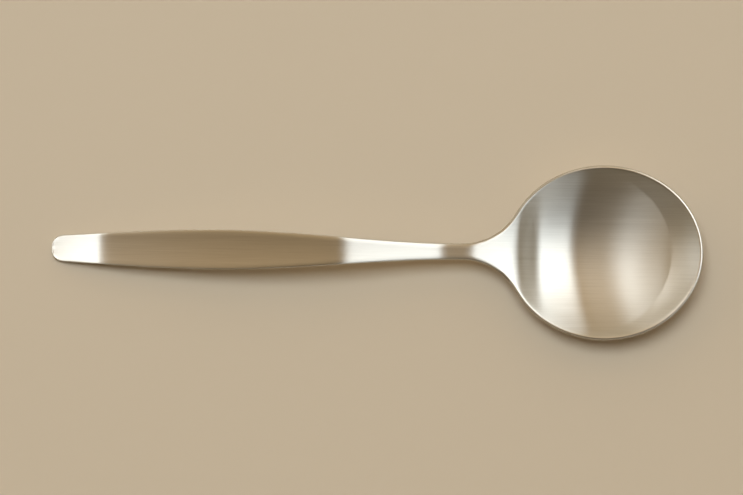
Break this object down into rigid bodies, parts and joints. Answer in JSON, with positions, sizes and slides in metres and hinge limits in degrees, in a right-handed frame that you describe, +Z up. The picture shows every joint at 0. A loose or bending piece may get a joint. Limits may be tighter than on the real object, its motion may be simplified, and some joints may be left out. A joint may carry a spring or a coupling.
{
  "type": "teaspoon",
  "caption": "Teaspoon pressed from one piece of stainless steel, with a round bowl, a slim neck and a leaf-shaped handle brushed along its length.",
  "frame": {"origin": "on the table under the middle of the spoon's length, on its plane of symmetry", "axes": "+X from the handle's tip to the front of the bowl, +Y across the spoon, +Z up out of the open bowl"},
  "size_m": [0.1366, 0.0364, 0.0109],
  "materials": {
    "spoon": "satin stainless steel, brushed along the spoon's length, with a smoother rounded edge"
  },
  "bodies": {
    "root": {"spoon": "spoon"}
  },
  "joints": []
}
